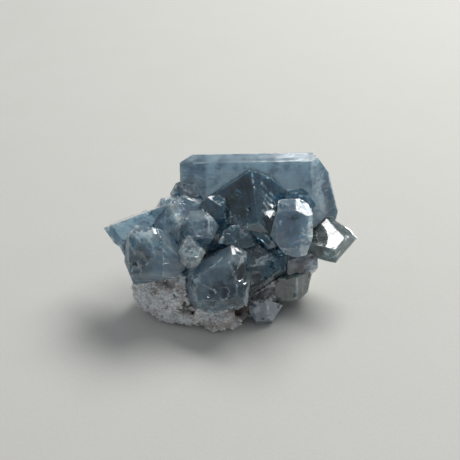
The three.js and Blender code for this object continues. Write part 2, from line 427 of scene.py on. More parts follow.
def tidyFacets(mesh):
    bmesh.ops.dissolve_limit(mesh, angle_limit=math.radians(1), verts=mesh.verts, edges=mesh.edges)
    bmesh.ops.dissolve_degenerate(mesh, dist=growth["join"], edges=mesh.edges)
    mesh.normal_update()


def openSides(mesh):
    # how many sides of faces don't meet exactly one other face
    mesh.verts.index_update()
    sides = [sorted((edge.verts[0].index, edge.verts[1].index)) for face in mesh.faces for edge in face.edges]
    _, counts = np.unique(np.array(sides), axis=0, return_counts=True)
    return int((counts != 2).sum())


def closeUp(mesh):
    # drops loose bits and fills the small holes that a bevel can leave
    bmesh.ops.delete(mesh, geom=[edge for edge in mesh.edges if not edge.link_faces], context="EDGES")
    bmesh.ops.delete(mesh, geom=[vert for vert in mesh.verts if not vert.link_edges], context="VERTS")
    rim = [edge for edge in mesh.edges if len(edge.link_faces) == 1]
    if rim:
        bmesh.ops.holes_fill(mesh, edges=rim, sides=0)
        bmesh.ops.recalc_face_normals(mesh, faces=mesh.faces)
    mesh.normal_update()


def labelFacets(mesh):
    # coplanar neighbours share a label
    label = mesh.faces.layers.int.new("facet")
    normals = []
    for face in mesh.faces:
        face[label] = -1
    for face in mesh.faces:
        if face[label] >= 0:
            continue
        face[label] = len(normals)
        stack = [face]
        while stack:
            for edge in stack.pop().edges:
                for other in edge.link_faces:
                    if other[label] < 0 and other.normal.dot(face.normal) > 0.999:
                        other[label] = len(normals)
                        stack.append(other)
        normals.append(face.normal.copy())
    return label, normals


def sharpEdges(mesh, least=12):
    return [edge for edge in mesh.edges if edge.calc_face_angle(0) > math.radians(least)]


def growSteps(mesh, label, normals, striation, draw):
    # cuts each large facet across its growth and says how deep each terrace lies
    terraces = {}
    for facet, normal in enumerate(normals):
        faces = [face for face in mesh.faces if face[label] == facet]
        along = striation - normal * normal.dot(striation)
        area = sum(face.calc_area() for face in faces)
        if area < growth["stepArea"] or along.length < 0.3:  # too small, or facing along its growth
            continue
        across = normal.cross(along).normalized()
        reach = [vert.co.dot(across) for face in faces for vert in face.verts]
        places, depths = [], []
        place = min(reach) + draw.uniform(*growth["stepGap"])
        while place < max(reach):
            places.append(place)
            depths.append(draw.uniform(0, growth["stepDepth"]))
            place += draw.uniform(*growth["stepGap"]) * draw.uniform(0.3, 1)
        terraces[facet] = (across, places, depths)
        for place in places:
            for shift in (0, growth["stepWidth"]):
                faces = [face for face in mesh.faces if face[label] == facet]
                edges = list(dict.fromkeys(edge for face in faces for edge in face.edges))  # keeps their order
                verts = list(dict.fromkeys(vert for face in faces for vert in face.verts))
                bmesh.ops.bisect_plane(mesh, geom=faces + edges + verts, dist=1e-8,
                                       plane_co=across * (place + shift), plane_no=across)
    return terraces


def splitTriangles(points, corners, labels, longest):
    # halves each long edge for both of its triangles at once, so a closed mesh stays closed
    sides = np.sort(corners[:, [[0, 1], [1, 2], [2, 0]]].reshape(-1, 2), axis=1)
    edges, which = np.unique(sides, axis=0, return_inverse=True)
    long = np.linalg.norm(points[edges[:, 0]] - points[edges[:, 1]], axis=1) > longest
    middles = np.full(len(edges), -1)
    middles[long] = len(points) + np.arange(long.sum())
    points = np.vstack((points, points[edges[long]].mean(axis=1)))
    cut = middles[which.reshape(-1)].reshape(-1, 3)
    made, kept = [], []
    for (first, second, third), (a, b, c), label in zip(corners.tolist(), cut.tolist(), labels.tolist()):
        count = (a >= 0) + (b >= 0) + (c >= 0)
        if count == 3:
            parts = [(first, a, c), (a, second, b), (c, b, third), (a, b, c)]
        elif count == 0:
            parts = [(first, second, third)]
        else:
            while a < 0 or (count == 2 and b < 0):
                first, second, third, a, b, c = second, third, first, b, c, a
            parts = [(first, a, third), (a, second, third)]
            if count == 2:
                parts = [(first, a, b), (a, second, b), (first, b, third)]
        made += parts
        kept += [label] * len(parts)
    return points, np.array(made), np.array(kept)


def steadyOrder(points, corners, labels):
    # lists the points and triangles by where they are, because cuts and bevels leave them in any order
    byPlace = np.lexsort(np.round(points, 8).T)
    rank = np.empty(len(points), int)
    rank[byPlace] = np.arange(len(points))
    corners = rank[corners]
    turned = (corners.argmin(axis=1)[:, None] + np.arange(3)) % 3
    corners = np.take_along_axis(corners, turned, axis=1)
    byCorner = np.lexsort(corners.T)
    return points[byPlace], corners[byCorner], labels[byCorner]


def splitLong(mesh, longest, passes=7):
    layer = mesh.faces.layers.int.get("facet")
    mesh.verts.index_update()
    points = np.array([vert.co for vert in mesh.verts])
    corners = np.array([[vert.index for vert in face.verts] for face in mesh.faces])
    labels = np.array([face[layer] if layer else 0 for face in mesh.faces])
    points, corners, labels = steadyOrder(points, corners, labels)
    for _ in range(passes):
        points, corners, labels = splitTriangles(points, corners, labels, longest)
    mesh.free()
    data = bpy.data.meshes.new("split")
    data.from_pydata(points.tolist(), [], corners.tolist())
    data.attributes.new("facet", "INT", "FACE").data.foreach_set("value", labels)
    fresh = bmesh.new()
    fresh.from_mesh(data)
    bpy.data.meshes.remove(data)
    return fresh


def terraceDepth(terrace, at):
    across, places, depths = terrace
    along = at.dot(across)
    level = 0
    for index, place in enumerate(places):
        if along < place:
            break
        rise = min(1, (along - place) / growth["stepWidth"])
        fade = noise.noise(at * 260 + Vector((index * 7.1, 0, 0))) * 0.5 + 0.5
        level += (depths[index] * fade - level) * rise
    return level


def edgeTree(edges):
    points = []
    for edge in edges:
        start, end = edge.verts[0].co, edge.verts[1].co
        count = max(1, int((end - start).length / (0.15 * mm)))
        points += [start.lerp(end, step / count) for step in range(count + 1)]
    tree = KDTree(len(points))
    for index, point in enumerate(points):
        tree.insert(point, index)
    tree.balance()
    return tree


def meetsNeighbour(node, at, outward):
    others = (tree for other, tree in bodyTrees.items() if other != node)
    return any(tree.ray_cast(at, outward, growth["seam"])[0] is not None for tree in others)


def grownAgainst(node, mesh, label, normals):
    # the facets that lie against a neighbour
    against = {}
    for face in mesh.faces:
        at, normal = face.calc_center_median(), normals[face[label]]
        share = against.setdefault(face[label], [0, 0])
        share[0] += face.calc_area() * meetsNeighbour(node, at, normal)
        share[1] += face.calc_area()
    return {facet for facet, (near, whole) in against.items() if near > 0.5 * whole}


def sinkSurface(mesh, label, normals, terraces, against, swell):
    # a free face sinks by its steps and its swell, and a face against a neighbour comes out to meet it
    moves, inverses = [], {}
    for vert in mesh.verts:
        facets = tuple(sorted({face[label] for face in vert.link_faces}))
        uneven = (noise.noise(vert.co * 420) * 0.5 + 0.5) * swell
        depths = []
        for facet in facets:
            step = terraceDepth(terraces[facet], vert.co) if facet in terraces else 0
            depths.append(-growth["closer"] if facet in against else uneven + step)
        if len(facets) == 1:
            moves.append(-normals[facets[0]] * depths[0])
        else:
            if facets not in inverses:
                planes = np.array([normals[facet] for facet in facets])
                inverses[facets] = np.linalg.pinv(planes, rcond=0.4)
            moves.append(Vector(-inverses[facets] @ np.array(depths)))
    for vert, move in zip(mesh.verts, moves):
        vert.co += move


def inPolygon(places, corners, soft):
    # 1 within a polygon of frame pixels, and down to 0 over its soft rim
    inside = np.zeros(len(places), bool)
    nearest = np.full(len(places), 1e9)
    for start, end in zip(corners, corners[1:] + corners[:1]):
        (x0, y0), (x1, y1) = start, end
        x, y = places.T
        span = np.array((x1 - x0, y1 - y0), float)
        share = np.clip(((places - start) @ span) / (span @ span), 0, 1)
        nearest = np.minimum(nearest, np.linalg.norm(places - start - share[:, None] * span, axis=1))
        if y0 != y1:
            inside ^= ((y0 > y) != (y1 > y)) & (x < (x1 - x0) * (y - y0) / (y1 - y0) + x0)
    return np.clip(0.5 + np.where(inside, nearest, -nearest) / soft, 0, 1)


def paintLayers(mesh, tree, look):
    # frost is fine whitening at worn edges and in patches, and the patches are partly painted highlight where
    # a facet is lit; rust a brown film; shade is painted shade and painted dark reflection, a deeper colour
    mesh.normal_update()
    points = np.array([vert.co for vert in mesh.verts])
    facing = np.array([vert.normal for vert in mesh.verts]) @ np.array(camera.matrix_world.col[2][:3]) > 0.12
    coarse = np.array([noise.noise(vert.co * 500) for vert in mesh.verts])
    fine = np.array([noise.noise(vert.co * 1700) for vert in mesh.verts])
    near = np.array([max(0, 1 - tree.find(vert.co)[2] / (0.3 * mm)) for vert in mesh.verts])
    seen = pixelsOf(points)
    places = seen + np.column_stack((coarse * 5 + fine * 2, fine * 3 - coarse * 4))  # ragged outlines
    edges = near * np.clip(0.25 + coarse + fine * 0.6, 0, 1)
    values = {"frostAndHighlight": edges, "rust": 0 * near, "shade": 0 * near}
    for kind, strength, corners in look.get("paint", []):
        mask = inPolygon(places, corners, 5) * facing * strength
        patchy = 0.5 + 1.6 * (coarse + 0.8 * fine) if kind == "frostAndHighlight" else 0.9 + 0.7 * coarse
        values[kind] = values[kind] + mask * np.clip(patchy, 0, 1)
    for path, _ in look.get("cracks", []):
        for start, end in zip(path, path[1:]):
            span = np.subtract(end, start).astype(float)
            share = np.clip(((seen - start) @ span) / (span @ span), 0, 1)
            away = np.linalg.norm(seen - start - share[:, None] * span, axis=1)
            line = np.clip(1 - away / 1.8, 0, 1) * facing
            values["frostAndHighlight"] = values["frostAndHighlight"] + line * np.clip(0.45 + fine + coarse, 0, 0.8)
    for kind, value in values.items():
        layer = mesh.verts.layers.float.new(kind)
        for vert, amount in zip(mesh.verts, np.clip(value, 0, 1)):
            vert[layer] = amount


def keepInBox(mesh):
    low, high = cadBox
    for vert in mesh.verts:
        vert.co = [min(max(vert.co[axis], low[axis]), high[axis]) for axis in range(3)]


def wornCrystal(node, look):
    # chips, worn edges and growth steps; a try that doesn't close is made again with other chips
    turn = crystalTurn(*look["facing"])
    wear = look.get("wear", 1)
    for attempt in range(look.get("try", 0), growth["tries"]):
        draw = np.random.default_rng([growth["seed"], sorted(nodes).index(node), attempt])
        mesh = breakCrystal(node, facetBody(node), look, draw)
        tidyFacets(mesh)
        closeUp(mesh)
        tree = edgeTree(sharpEdges(mesh, 20))
        worn = sharpEdges(mesh, 25)
        bmesh.ops.bevel(mesh, geom=worn, offset=growth["bevel"] * wear, segments=1, affect="EDGES",
                        clamp_overlap=True)
        closeUp(mesh)
        label, normals = labelFacets(mesh)
        terraces = growSteps(mesh, label, normals, turn.col["abc".index(look["striation"])], draw)
        bmesh.ops.triangulate(mesh, faces=mesh.faces, quad_method="BEAUTY", ngon_method="BEAUTY")
        against = grownAgainst(node, mesh, label, normals)
        if not openSides(mesh):
            break
        print(node, "didn't close on try", attempt)
    mesh = splitLong(mesh, look.get("edge", 0.36) * mm)
    label = mesh.faces.layers.int["facet"]
    return mesh, tree, label, normals, terraces, against


def crystalPiece(node, look, material):
    mesh, tree, label, normals, terraces, against = wornCrystal(node, look)
    sinkSurface(mesh, label, normals, terraces, against, look.get("swell", 1) * growth["swell"])
    paintLayers(mesh, tree, look)
    keepInBox(mesh)
    piece = meshObject(node + "_crystal", mesh)
    piece.data.shade_smooth()
    piece.data.set_sharp_from_angle(angle=math.radians(14))
    piece.data.materials.append(material)
    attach(piece, "root")
    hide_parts(node)
    print(node, len(piece.data.polygons), "triangles")
    return piece


def crystalMaterial(name, look, facing, striation):
    material, tree, shader, coords = newMaterial(name)
    link = tree.links.new
    axes = tree.nodes.new("ShaderNodeMapping")  # turns a pattern to the crystal's own axes
    axes.inputs["Rotation"].default_value = crystalTurn(*facing).inverted().to_euler()
    stretched = tree.nodes.new("ShaderNodeMapping")
    stretched.inputs["Scale"].default_value = [0.12 if axis == striation else 1 for axis in "abc"]
    link(coords, axes.inputs["Vector"])
    link(axes.outputs["Vector"], stretched.inputs["Vector"])
    lines = noiseOn(tree, stretched.outputs["Vector"], Scale=2600, Detail=3, Roughness=0.6)
    clouds = noiseOn(tree, coords, Scale=230, Detail=5, Roughness=0.62, Distortion=0.6)
    relief = bumpFrom(tree, lines, look["lines"], surface["relief"])
    frostAndHighlight, rust, shade = (layerOf(tree, kind) for kind in ("frostAndHighlight", "rust", "shade"))
    cloud = mixValues(tree, clouds, -0.9, 1.9)
    body = mixColours(tree, cloud, look["body"], look["cloud"])
    # painted shade: the shade layer darkens the skin towards the look's dark colour
    shaded = mixColours(tree, shade, body, look["dark"])
    stained = mixColours(tree, rust, shaded, surface["rust"])
    flecks = addNode(tree, "ShaderNodeMapRange", **surface["flecks"])
    link(lines, flecks.inputs["Value"])
    white, clear = (tree.nodes.new("ShaderNodeMath") for _ in range(2))
    for maths in (white, clear):
        maths.operation, maths.use_clamp = "MULTIPLY", True
    link(frostAndHighlight, white.inputs[0])
    link(flecks.outputs["Result"], white.inputs[1])
    link(mixValues(tree, cloud, look["clear"] + 0.12, look["clear"] - 0.12), clear.inputs[0])
    link(mixValues(tree, frostAndHighlight, 1, 0.25), clear.inputs[1])
    link(relief, shader.inputs["Normal"])
    link(relief, shader.inputs["Coat Normal"])
    # the frost whitening, partly a painted highlight on lit facets, goes into the base colour
    link(mixColours(tree, white.outputs[0], stained, surface["frostAndHighlight"]), shader.inputs["Base Color"])
    link(mixValues(tree, frostAndHighlight, look["haze"], 0.5), shader.inputs["Roughness"])
    link(mixValues(tree, frostAndHighlight, look.get("coat", 0.04), 0.45), shader.inputs["Coat Roughness"])
    link(clear.outputs[0], shader.inputs["Transmission Weight"])
    setInputs(shader, {
        "IOR": surface["bends"], "Coat IOR": surface["bends"], "Coat Weight": 1, "Subsurface Weight": 1,
        "Subsurface Radius": (0.7, 0.9, 1.0), "Subsurface Scale": look["glow"] * mm,
    })
    inside = addNode(tree, "ShaderNodeVolumeAbsorption", Color=(*look["stain"], 1), Density=look["depth"])
    link(inside.outputs["Volume"], tree.nodes["Material Output"].inputs["Volume"])
    return material


surface = {
    "bends": 1.62,  # refractive index of celestite
    "relief": 0.03 * mm,
    "rust": (0.30, 0.23, 0.16),
    "frostAndHighlight": (0.74, 0.85, 0.93),
    "flecks": {"From Min": 0.42, "From Max": 0.6, "To Min": 0.3, "To Max": 1.15},
}

# body and cloud are the skin's two tones, stain and depth colour the inside, haze and clear its skin, and dark
# is the colour of the painted shade
looks = {
    "slate": {"body": (0.40, 0.62, 0.78), "cloud": (0.62, 0.80, 0.92), "haze": 0.08, "clear": 0.76,
              "dark": (0.05, 0.12, 0.15), "stain": (0.42, 0.68, 0.86), "depth": 36, "glow": 5, "lines": 0.25},
    "long": {"body": (0.33, 0.51, 0.64), "cloud": (0.50, 0.66, 0.76), "haze": 0.16, "clear": 0.68,
             "dark": (0.07, 0.15, 0.20), "stain": (0.40, 0.64, 0.79), "depth": 40, "glow": 5, "lines": 0.22,
             "coat": 0.15},
    "deep": {"body": (0.11, 0.33, 0.47), "cloud": (0.25, 0.50, 0.66), "haze": 0.06, "clear": 0.84,
             "dark": (0.02, 0.085, 0.09), "stain": (0.26, 0.58, 0.76), "depth": 50, "glow": 4, "lines": 0.25},
    "milky": {"body": (0.44, 0.64, 0.84), "cloud": (0.66, 0.83, 0.95), "haze": 0.12, "clear": 0.6,
              "dark": (0.16, 0.26, 0.33), "stain": (0.46, 0.70, 0.88), "depth": 32, "glow": 5, "lines": 0.2},
    "olive": {"body": (0.30, 0.39, 0.40), "cloud": (0.48, 0.57, 0.57), "haze": 0.08, "clear": 0.78,
              "dark": (0.10, 0.11, 0.10), "stain": (0.53, 0.66, 0.66), "depth": 55, "glow": 4, "lines": 0.12},
    "clear": {"body": (0.62, 0.78, 0.88), "cloud": (0.80, 0.91, 0.97), "haze": 0.06, "clear": 0.8,
              "dark": (0.2, 0.25, 0.3), "stain": (0.65, 0.80, 0.90), "depth": 16, "glow": 3, "lines": 0.2},
    "mauve": {"body": (0.38, 0.47, 0.61), "cloud": (0.58, 0.67, 0.79), "haze": 0.1, "clear": 0.64,
              "dark": (0.04, 0.05, 0.07), "stain": (0.54, 0.64, 0.80), "depth": 45, "glow": 4, "lines": 0.3},
}

# a mark starts with the pixel of the frame at which it lies on its crystal, and its sizes are in mm; a shade
# mark paints shade or a dark reflection into the colour, and a frost mark is partly a painted highlight
crystals = {
    "front_block": {
        "facing": (-30, 38, -24), "striation": "b", "look": "slate", "swell": 1.5,
        "ledges": [(197, 280, 1.9, 0.8), (240, 251, 1.2, 0.6), (245, 257, 1.4, 0.6), (249, 262, 0.9, 0.7),
                   (208, 297, 0.6, 0.3), (212, 300, 0.5, 0.3), (228, 295, 0.6, 0.35), (245, 284, 0.9, 0.6)],
        "hollows": [((215, 275), (203, 283), 1.6, 2.2, 0.3), ((215, 275), (219, 262), 1.4, 1.0, 0.25),
                    ((240, 280), (241, 272), 1.0, 2.4, 0.3), ((215, 275), (222, 294), 1.8, 1.3, 0.3)],
        "scoops": [(192, 270, 1.2), (215, 254, 1.0), (203, 305, 1.2)],
        "cracks": [([(229, 262), (234, 272), (237, 285), (237, 297)], 1.6),
                   ([(203, 285), (214, 290), (222, 300)], 1.4),
                   ([(233, 250), (238, 257), (245, 263)], 1.2), ([(206, 270), (214, 266), (222, 258)], 1.3)],
        "paint": [
            ("shade", 1, [(229, 262), (247, 263), (249, 285), (246, 300), (237, 306), (228, 303),
                          (232, 285)]),
            ("shade", 1, [(208, 286), (220, 281), (230, 283), (232, 292), (228, 300), (212, 302)]),
            ("frostAndHighlight", 0.6, [(191, 276), (202, 276), (202, 284), (191, 284)]),
            ("frostAndHighlight", 0.9, [(236, 246), (247, 250), (252, 262), (244, 264), (236, 258)]),
            ("frostAndHighlight", 0.7, [(172, 266), (194, 268), (198, 300), (178, 298)]),
            ("frostAndHighlight", 0.6, [(210, 305), (218, 306), (217, 310), (209, 309)])],
    },
    "front_right_block": {
        "facing": (12, 26, 34), "striation": "a", "look": "deep", "try": 1, "swell": 1.2,
        "ledges": [(265, 279, 1.1, 0.6), (256, 262, 0.7, 0.3), (272, 276, 0.8, 0.3), (260, 268, 0.6, 0.3)],
        "hollows": [((262, 250), (266, 244), 1.5, 1.2, 0.3), ((262, 272), (257, 276), 1.3, 1.1, 0.25)],
        "scoops": [(258, 248, 1.3), (272, 264, 1.2), (255, 280, 1.0), (266, 241, 0.8)],
        "cracks": [([(257, 260), (265, 257), (273, 253)], 1.5), ([(259, 264), (266, 260), (272, 258)], 1.2),
                   ([(252, 266), (260, 265), (269, 264)], 1.0), ([(258, 238), (266, 246), (276, 252)], 1.5),
                   ([(255, 250), (262, 252), (270, 247)], 1.5)],
        "paint": [
            ("shade", 0.6, [(254, 234), (266, 232), (276, 240), (275, 262), (256, 268), (251, 258)]),
            # painted shade in the dark recess under the block
            ("shade", 1, [(248, 283), (280, 272), (280, 302), (248, 302)]),
            ("rust", 0.5, [(250, 270), (262, 270), (262, 285), (250, 285)]),
            ("frostAndHighlight", 0.7, [(256, 259), (274, 252), (275, 255), (258, 262)]),
            ("frostAndHighlight", 0.6, [(262, 276), (268, 276), (268, 283), (262, 283)])],
    },
    "right_milky": {
        "facing": (-8, 24, 10), "striation": "b", "look": "milky", "try": 1, "swell": 2.2,
        "ledges": [(311, 214, 1.2, 0.7), (311, 224, 0.9, 0.9), (311, 236, 1.0, 0.8), (309, 249, 0.9, 0.8),
                   (307, 205, 1.6, 0.8), (299, 209, 0.9, 0.3), (303, 238, 1.7, 0.6), (283, 219, 0.8, 0.4)],
        "hollows": [((293, 228), (285, 220), 1.2, 1.5, 0.2), ((293, 228), (299, 246), 1.8, 1.2, 0.25)],
        "scoops": [(302, 201, 1.2), (282, 206, 1.4), (310, 229, 0.9), (309, 243, 1.0), (287, 252, 1.3)],
        "cracks": [([(284, 216), (281, 221), (280, 225)], 1.0), ([(291, 215), (298, 209), (306, 205)], 1.5),
                   ([(300, 222), (304, 231), (302, 240)], 1.2), ([(290, 243), (297, 247), (305, 244)], 1.0)],
        "paint": [
            ("frostAndHighlight", 0.9, [(306, 202), (315, 206), (315, 258), (309, 258), (309, 214), (303, 207)]),
            ("frostAndHighlight", 0.3, [(276, 199), (304, 198), (304, 206), (276, 208)]),
            ("shade", 0.7, [(276, 198), (303, 198), (302, 219), (277, 219)]),
            ("frostAndHighlight", 0.7, [(299, 236), (309, 236), (309, 241), (299, 241)]),
            ("shade", 0.5, [(283, 216), (301, 214), (303, 234), (286, 238)]),
            ("rust", 0.45, [(276, 234), (284, 234), (285, 247), (277, 248)])],
    },
    "right_plate": {
        "facing": (0, 78, -59), "striation": "b", "look": "olive", "edge": 0.42, "chips": 6,
        "ledges": [(326, 254, 1.3, 0.4), (333, 251, 1.3, 0.3)],
        "scoops": [(347, 236, 0.6)],
        "hollows": [((333, 235), (303, 236), 5.6, 6.5, 0.6)],
        "cracks": [([(330, 258), (336, 256), (342, 250)], 0.8)],
        "paint": [
            # painted reflection: the dark mirror image of right_milky on the mirror-like face
            ("shade", 0.8, [(313, 216), (327, 222), (330, 240), (324, 253), (313, 256)]),
            ("frostAndHighlight", 0.5, [(323, 252), (338, 249), (338, 254), (324, 257)])],
    },
    "left_front": {
        "facing": (-14, 18, 4), "striation": "a", "look": "slate", "try": 2, "wear": 0.5, "swell": 2.2,
        "ledges": [(153, 231, 1.8, 0.9), (138, 239, 1.5, 0.7), (142, 243, 1.3, 0.6), (134, 266, 1.5, 0.8),
                   (150, 243, 1.0, 0.4)],
        "scoops": [(133, 240, 1.5), (160, 243, 1.5), (131, 276, 1.4)],
        "hollows": [((150, 248), (153, 243), 1.7, 1.4, 0.3), ((150, 248), (140, 258), 1.2, 1.9, 0.25),
                    ((150, 248), (158, 257), 1.3, 1.6, 0.3), ((140, 266), (136, 271), 1.3, 1.0, 0.25)],
        "cracks": [([(137, 236), (141, 241), (147, 245)], 1.6), ([(148, 238), (153, 246), (155, 256)], 1.4),
                   ([(130, 246), (136, 254), (139, 266)], 1.6), ([(160, 246), (165, 252), (170, 256)], 1.3)],
        "paint": [
            # painted highlight: the lit top facet is whitened
            ("frostAndHighlight", 1, [(127, 235), (133, 225), (148, 229), (156, 228), (157, 235), (135, 237)]),
            ("rust", 0.4, [(128, 250), (145, 246), (156, 262), (150, 276), (130, 274)]),
            ("shade", 0.5, [(126, 248), (142, 246), (150, 270), (128, 276)]),
            ("frostAndHighlight", 0.5, [(137, 237), (147, 237), (148, 246), (140, 244)])],
    },
    "small_clear": {
        "facing": (5, 20, 5), "striation": "b", "look": "clear", "swell": 1.5,
        "ledges": [(188, 250, 1.2, 0.6), (197, 257, 1.1, 0.6), (190, 262, 1.3, 0.5), (193, 243, 0.8, 0.5)],
        "scoops": [(186, 246, 0.8), (199, 250, 0.8), (192, 266, 0.9)],
        "cracks": [([(183, 252), (190, 257), (199, 253)], 1.0), ([(184, 260), (191, 264), (200, 259)], 1.0),
                   ([(186, 242), (192, 246), (199, 244)], 0.9), ([(188, 250), (194, 252), (200, 249)], 0.8)],
        "paint": [
            ("frostAndHighlight", 0.9, [(183, 247), (201, 247), (198, 262), (186, 264)]),
            ("frostAndHighlight", 0.5, [(186, 236), (198, 236), (200, 246), (184, 246)])],
    },
    "rounded_blue": {
        "facing": (15, 35, 0), "striation": "b", "look": "slate", "swell": 2.4, "chips": 14,
        "ledges": [(198, 236, 1.3, 0.5), (189, 212, 1.4, 0.4), (205, 225, 0.6, 0.3)],
        "hollows": [((197, 225), (208, 222), 0.9, 1.9, 0.25), ((197, 225), (192, 222), 1.4, 1.0, 0.2)],
        "scoops": [(207, 216, 1.3), (186, 219, 1.2), (209, 230, 1.3), (190, 235, 1.3)],
        "cracks": [([(204, 212), (209, 220), (209, 231)], 1.1), ([(207, 211), (212, 220), (212, 230)], 1.0),
                   ([(188, 226), (196, 231), (204, 230)], 1.0)],
        "paint": [
            ("frostAndHighlight", 0.6, [(194, 235), (203, 234), (203, 240), (194, 240)]),
            ("shade", 0.5, [(203, 214), (213, 218), (212, 236), (203, 236)])],
    },
    "left_upper": {
        "facing": (-25, 25, 5), "striation": "b", "look": "milky", "try": 8, "swell": 2, "chips": 12,
        "ledges": [(167, 198, 1.0, 0.6), (180, 200, 1.1, 0.6), (184, 204, 0.6, 0.5), (172, 219, 1.0, 0.5),
                   (168, 223, 0.7, 0.4), (177, 215, 0.8, 0.5), (191, 198, 1.2, 0.3)],
        "scoops": [(165, 210, 1.2), (175, 227, 1.3), (181, 218, 1.1), (171, 203, 0.9), (194, 203, 0.9)],
        "cracks": [([(167, 224), (173, 218), (179, 214)], 1.3), ([(170, 227), (176, 220), (181, 217)], 1.2),
                   ([(184, 213), (184, 221), (185, 229)], 1.3), ([(160, 213), (165, 207), (172, 204)], 1.0)],
        "paint": [
            ("frostAndHighlight", 0.6, [(166, 213), (181, 213), (180, 227), (166, 227)]),
            ("frostAndHighlight", 0.7, [(163, 195), (186, 196), (186, 204), (163, 202)]),
            ("frostAndHighlight", 0.8, [(184, 190), (200, 197), (199, 200), (184, 194)])],
    },
    "left_blade": {
        "facing": (-20, 17, 81), "striation": "b", "look": "slate", "try": 1, "edge": 0.6, "chips": 7,
        "ledges": [(121, 243, 0.9, 0.4), (116, 226, 0.6, 0.2)],
        "scoops": [(104, 231, 0.9), (112, 239, 0.9), (150, 213, 0.8)],
        "cracks": [([(112, 228), (120, 224), (130, 222)], 1.0)],
        "paint": [
            ("frostAndHighlight", 0.3, [(104, 226), (112, 222), (130, 218), (128, 224), (108, 232)])],
    },
    "middle_wedge": {
        "facing": (0, 44, 20), "striation": "a", "look": "deep", "try": 13, "chips": 12,
        "ledges": [(222, 237, 0.9, 0.5), (228, 234, 0.9, 0.3), (239, 245, 0.6, 0.3)],
        "scoops": [(232, 228, 1.0), (245, 234, 1.1), (224, 242, 0.9)],
        "cracks": [([(220, 243), (223, 236), (229, 234)], 0.9), ([(229, 234), (235, 241), (242, 247)], 0.9),
                   ([(238, 225), (243, 233), (251, 238)], 1.0)],
        "paint": [
            ("frostAndHighlight", 0.8, [(217, 243), (221, 235), (227, 233), (227, 237), (222, 240), (220, 245)]),
            ("shade", 0.5, [(210, 216), (223, 217), (222, 238), (211, 238)])],
    },
    "middle_teal": {
        "facing": (-20, 30, -30), "striation": "b", "look": "deep", "try": 2, "wear": 0.5, "chips": 10,
        "ledges": [(268, 214, 1.0, 0.25)],
        "cracks": [([(257, 219), (268, 214), (277, 210)], 0.9), ([(258, 230), (266, 236), (273, 243)], 0.9)],
        "paint": [
            ("shade", 0.6, [(256, 216), (278, 213), (276, 232), (258, 234)])],
    },
    "lower_right_prism": {
        "facing": (4, 8, 1), "striation": "b", "look": "olive", "chips": 7,
        "ledges": [(275, 300, 1.3, 0.3), (283, 274, 0.9, 0.4)],
        "scoops": [(297, 302, 0.9), (309, 282, 0.9)],
        "cracks": [([(297, 279), (297, 290), (296, 300)], 0.9), ([(304, 280), (303, 290)], 0.8)],
        "paint": [
            ("shade", 0.3, [(276, 277), (296, 277), (296, 303), (276, 303)]),
            ("frostAndHighlight", 0.6, [(270, 296), (280, 294), (280, 303), (270, 303)])],
    },
    "lower_mauve": {
        "facing": (2, 15, 8), "striation": "b", "look": "mauve", "try": 1, "chips": 8,
        "ledges": [(263, 320, 0.7, 0.4), (253, 299, 0.8, 0.5), (255, 307, 0.6, 0.5)],
        "scoops": [(262, 300, 0.9), (278, 305, 0.9)],
        "cracks": [([(250, 298), (252, 305), (256, 312)], 0.9), ([(254, 297), (257, 304), (259, 311)], 0.9),
                   ([(266, 302), (269, 310), (268, 318)], 0.8)],
        "paint": [
            ("frostAndHighlight", 0.7, [(248, 296), (258, 296), (259, 312), (250, 313)]),
            ("frostAndHighlight", 0.5, [(268, 304), (278, 305), (276, 320), (268, 318)])],
    },
    "right_small": {
        "facing": (10, 15, 10), "striation": "a", "look": "mauve", "chips": 8,
        "ledges": [(312, 259, 0.9, 0.5), (291, 262, 0.6, 0.3)],
        "scoops": [(315, 268, 0.9), (298, 257, 0.7)],
        "cracks": [([(309, 258), (312, 263), (311, 269)], 0.8)],
        "paint": [
            ("shade", 1, [(296, 261), (304, 261), (304, 276), (296, 276)]),
            ("frostAndHighlight", 0.6, [(308, 257), (317, 258), (317, 268), (308, 267)])],
    },
    "centre_pyramid": {
        "facing": (-38, 38, -57), "striation": "a", "look": "deep", "edge": 0.5, "chips": 3,
        "ledges": [(248, 210, 1.0, 0.7), (252, 180, 0.5, 0.3), (254, 187, 0.5, 0.3), (268, 178, 0.6, 0.3),
                   (246, 214, 0.5, 0.3), (231, 217, 0.7, 0.3)],
        "scoops": [(262, 184, 0.7), (222, 203, 0.8), (271, 205, 1.2), (236, 219, 1.2)],
        "cracks": [([(260, 188), (266, 195), (272, 201)], 1.0), ([(259, 192), (265, 199), (271, 206)], 1.0),
                   ([(262, 184), (268, 191), (274, 197)], 0.9), ([(259, 197), (264, 203), (268, 209)], 0.9),
                   ([(225, 205), (230, 212), (230, 221)], 1.2), ([(222, 208), (226, 214), (226, 221)], 1.0),
                   ([(252, 174), (253, 182), (256, 190)], 0.9)],
        "paint": [
            ("shade", 0.85, [(248, 174), (252, 190), (250, 215), (228, 220), (212, 206), (224, 192),
                             (237, 181)]),
            ("rust", 0.3, [(212, 203), (222, 191), (236, 180), (247, 173), (247, 180), (236, 189), (224, 200),
                           (214, 208)]),
            ("shade", 0.4, [(252, 172), (270, 182), (272, 205), (254, 215)])],
    },
    "brown_stained": {
        "facing": (-20, 40, -20), "striation": "b", "look": "deep", "swell": 2, "chips": 8,
        "ledges": [(204, 213, 1.4, 0.5), (211, 200, 0.7, 0.3)],
        "scoops": [(204, 199, 0.8), (219, 203, 0.9)],
        "cracks": [([(202, 209), (206, 212), (211, 210)], 0.7)],
        "paint": [
            ("rust", 0.8, [(199, 193), (210, 193), (210, 200), (199, 200)]),
            ("rust", 0.5, [(200, 206), (213, 206), (213, 215), (200, 215)]),
            ("shade", 0.5, [(210, 197), (227, 197), (226, 219), (212, 219)])],
    },
    "back_right_step": {
        "facing": (10, 35, 0), "striation": "a", "look": "deep",
